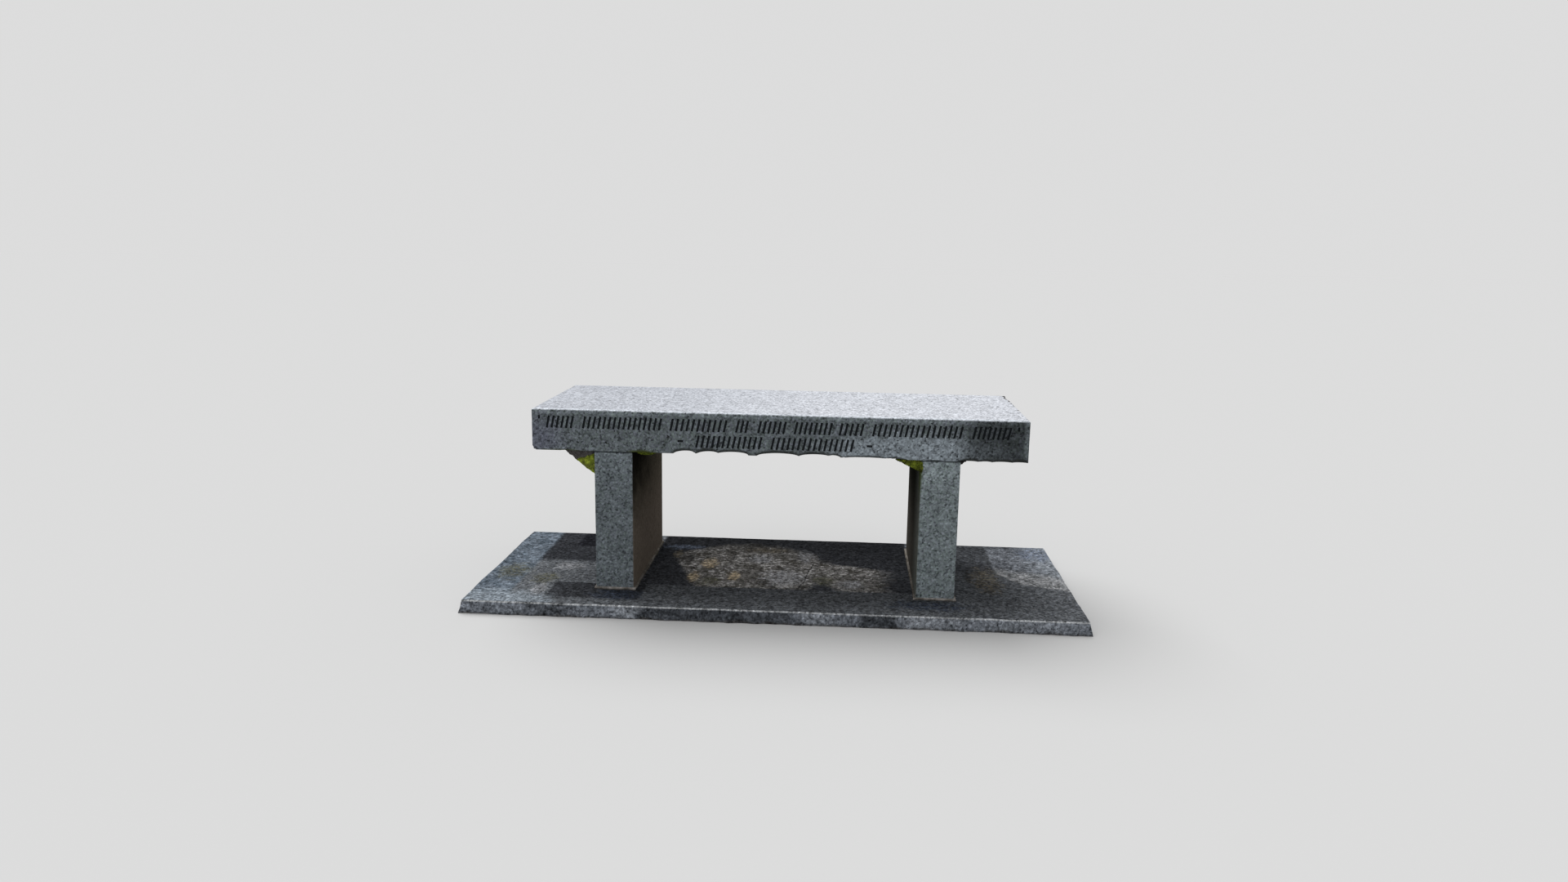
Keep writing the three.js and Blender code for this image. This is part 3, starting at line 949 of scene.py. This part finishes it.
    # Painted shade: between the legs it is paler in front and darker towards the back, and beside the right
    # leg darker
    to_back = finish.rise(y, -130, 240)
    stone = finish.shade(stone, 1 + between_legs * (0.75 - 1.37 * to_back))
    beside = finish.rise(x, 440, 460) * (1 - finish.rise(x, 660, 700)) * finish.rise(y, 140, 290)
    stone = finish.shade(stone, 1 - 0.34 * beside)

    # Pitched faces: bluish, with a pale arris, worn and with a painted highlight along it, and soiled at the
    # ground
    pitched = 1 - finish.rise(z, level - 0.7, level - 0.1)
    rock = finish.mix(blotched, (0.105, 0.116, 0.132), (0.178, 0.195, 0.224))
    for start, end, depth in ((-601, -492, 0.4), (-325, 60, 0.56), (217, 306, 0.6)):
        rock = finish.shade(rock, 1 - depth * finish.between(x + (blotch - 0.5) * 60, start, end, 12))
    for place, size, paler in ((-354, 34, 0.7), (109, 36, 0.6), (386, 84, 0.7), (610, 120, 0.35)):
        proud = finish.stain((place, millimetres(BASE_LOW.y), level), (size, 60, 30), 110.0 + place, 0.4, 0.5)
        rock = finish.mix(proud * paler, rock, (0.26, 0.28, 0.31))
    soiled = 1 - finish.rise(z + (blotch - 0.5) * 16, 0, 7)
    rock = finish.mix(soiled * 0.5, rock, (0.06, 0.052, 0.044))
    # The pale arris: wear and a painted highlight
    worn_and_lit_arris = finish.rise(z, level - 5, level - 3) * finish.rise(cloudy + fine_blotch, 0.62, 0.84)
    worn_and_lit_arris = worn_and_lit_arris * (0.9 - 0.5 * finish.rise(y, -304, -290))
    rock = finish.mix(worn_and_lit_arris, rock, (0.4, 0.415, 0.43))
    stone = finish.mix(pitched, stone, rock)

    grain = (0.1 + 0.9 * tone) * (1 + 2.4 * (mottle - 0.5)) * (1 + 1.2 * (fine_blotch - 0.5))
    colour = finish.shade(stone, (0.82 + 0.36 * cloudy) * grain)
    finish.bump(relief, 0.7)
    return finish.complete(colour, 0.88 + 0.1 * (tint - 0.5))


def mortar_finish():
    finish = Finish("lime_mortar")
    sand = finish.crystals(1.6)
    patches = finish.noise(24, 81.0, 4.0)
    bed_top = millimetres(BED_BOXES["left"][1].z)
    colour = finish.mix(finish.rise(patches, 0.4, 0.6), (0.15, 0.138, 0.126), (0.36, 0.34, 0.325))
    low_down = 1 - finish.rise(finish.z + (patches - 0.5) * 6, bed_top - 3, bed_top - 0.5)
    colour = finish.mix(low_down * 0.85, colour, (0.04, 0.038, 0.036))
    behind = finish.rise(finish.y, millimetres(LEG_FRONT) + 2, millimetres(LEG_FRONT) + 30)
    colour = finish.mix(behind * 0.75, colour, (0.075, 0.066, 0.052))
    colour = finish.shade(colour, 0.72 + 0.5 * sand)
    finish.bump(sand.also("Green") + finish.noise(5, 83.0), 0.5)
    return finish.complete(colour, 0.9 + 0.08 * (patches - 0.5))


def moss_finish():
    finish = Finish("moss_and_soil")
    left_side = millimetres(LEG_BOXES["left"][0].x)
    right_side = millimetres(LEG_BOXES["right"][1].x)
    under = millimetres(SEAT_UNDER)
    cushions = finish.noise(9, 91.0, 4.0, 0.6)
    tips = finish.crystals(1.8)
    green = finish.mix(finish.rise(cushions, 0.36, 0.64), (0.094, 0.122, 0.016), (0.26, 0.315, 0.034))
    dead = finish.rise(finish.noise(19, 94.0, 3.0, 0.6), 0.48, 0.62)
    green = finish.mix(dead * 0.6, green, (0.06, 0.052, 0.02))
    green = finish.shade(green, 0.6 + 0.8 * tips)
    down = under - finish.z
    # Painted shade and light: the moss darker up against the seat's underside and brighter lower down, at its
    # lit outer edge
    green = finish.shade(green, 0.5 + 0.6 * finish.rise(down, 4, 34))
    at_right_leg = finish.rise(finish.x, 250, 260)
    green = finish.shade(green, 1 - 0.8 * at_right_leg * finish.rise(down, 10, 30))

    # Bare soil and grit, in a layer under the seat that gets deeper outwards, and beside the right leg
    out = left_side - finish.x
    stray = (finish.noise(14, 92.0) - 0.5) * 14
    crust = 1 - finish.rise(down - out * 0.34 + stray, 6, 9)
    crust = crust * (1 - finish.rise(finish.x, -446, -436))
    crust = crust.math("MAXIMUM", crust, finish.rise(finish.x, right_side - 8, right_side - 4))
    grit = finish.mix(tips.also("Green"), (0.035, 0.033, 0.029), (0.1, 0.094, 0.094))
    grit = finish.shade(grit, (0.5 + cushions) * (0.35 + 0.65 * finish.rise(out, 0, 14)))
    colour = finish.mix(crust, green, grit)
    finish.bump(tips + finish.noise(1.6, 93.0), 0.8)
    return finish.complete(colour, 0.9 + 0.1 * (cushions - 0.5), 0.04)


def floor_finish():
    finish = Finish("studio_floor")
    grey = SKY_GREY / (SUN_ON_FLOOR + SKY_GREY)
    return finish.complete((grey, grey, grey), 1.0)


def light_and_floor():
    scene = bpy.context.scene
    scene.view_settings.view_transform = "Standard"
    world = bpy.data.worlds.new("studio")
    world.use_nodes = True
    world.node_tree.nodes["Background"].inputs["Color"].default_value = (SKY_GREY, SKY_GREY, SKY_GREY, 1)
    scene.world = world
    direction = SUN_DIRECTION.normalized()
    sun = bpy.data.lights.new("overhead_sun", "SUN")
    sun.energy = SUN_ON_FLOOR * math.pi / direction.z
    sun.angle = SUN_SPREAD
    lamp = bpy.data.objects.new("overhead_sun", sun)
    lamp.rotation_euler = direction.to_track_quat("Z", "Y").to_euler()
    scene.collection.objects.link(lamp)
    deselect()
    bpy.ops.mesh.primitive_plane_add(size=60, location=(0, 0, -0.5 * MM))
    floor = bpy.context.object
    floor.name = "floor"
    floor.data.materials.append(floor_finish())


def set_camera():
    camera = bpy.data.cameras.new("photo_camera")
    camera.sensor_width = 36
    camera.lens = CAMERA_LENS
    holder = bpy.data.objects.new("photo_camera", camera)
    forward = Vector(
        (
            -math.sin(CAMERA_YAW) * math.cos(CAMERA_PITCH),
            math.cos(CAMERA_YAW) * math.cos(CAMERA_PITCH),
            math.sin(CAMERA_PITCH),
        )
    )
    level_right = forward.cross(Vector((0, 0, 1))).normalized()
    level_up = level_right.cross(forward)
    right = math.cos(CAMERA_ROLL) * level_right + math.sin(CAMERA_ROLL) * level_up
    up = math.cos(CAMERA_ROLL) * level_up - math.sin(CAMERA_ROLL) * level_right
    turn = Matrix((right, up, -forward)).transposed().to_4x4()
    holder.matrix_world = Matrix.Translation(CAMERA_PLACE) @ turn
    bpy.context.scene.collection.objects.link(holder)
    bpy.context.scene.camera = holder


set_camera()
light_and_floor()

seat = build_seat()
base = build_base()
legs = {side: build_leg(side) for side in LEG_BOXES}
beds = {side: build_bed(side) for side in BED_BOXES}
mosses = build_moss()
for stone in (seat, base, *legs.values(), *beds.values()):
    finish_surface(stone)
for moss in mosses:
    finish_surface(moss, 60)

hand_over(seat, seat_finish(), "seat_slab")
hand_over(base, base_finish(), "base_slab")
mortar = mortar_finish()
for side in LEG_BOXES:
    hand_over(legs[side], leg_finish(side), f"{side}_leg")
    hand_over(beds[side], mortar, f"{side}_mortar_bed")
green = moss_finish()
for moss in mosses:
    hand_over(moss, green)
